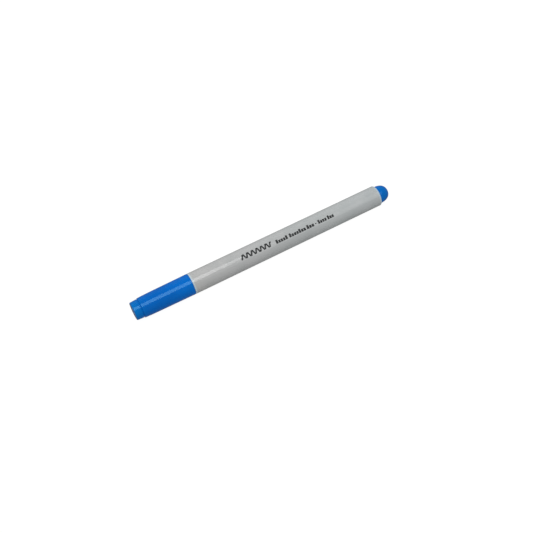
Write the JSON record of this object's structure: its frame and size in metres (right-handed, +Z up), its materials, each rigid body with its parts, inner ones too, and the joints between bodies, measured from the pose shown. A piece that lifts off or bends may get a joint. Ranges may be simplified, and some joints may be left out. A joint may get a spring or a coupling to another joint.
{
  "type": "fibre-tip marker pen",
  "caption": "Capped fibre-tip marker pen: light grey tubular barrel, blue pull-off cap with a stepped closed end, and a blue domed end plug.",
  "frame": {"origin": "under the middle of the pen, on the surface that it rests on", "axes": "+X along the pen from the closed end of the cap to the domed end plug, +Z up, +Y across the pen"},
  "size_m": [0.14, 0.0106, 0.0105],
  "materials": {
    "grey_plastic": "satin",
    "blue_plastic": "satin",
    "liner_plastic": "satin",
    "nib_fibre": "matte",
    "core_fibre": "matte",
    "film_plastic": "gloss"
  },
  "bodies": {
    "pen": {"barrel": "grey_plastic", "front_section": "grey_plastic", "nib": "nib_fibre", "reservoir_core": "core_fibre", "reservoir_sleeve": "film_plastic", "end_plug": "blue_plastic"},
    "cap": {"cap_shell": "blue_plastic", "cap_liner": "liner_plastic"}
  },
  "joints": [
    {"name": "cap_pull", "type": "slide", "parent": "pen", "child": "cap", "axis": [-1, 0, 0], "range_m": [0, 0.04]}
  ]
}
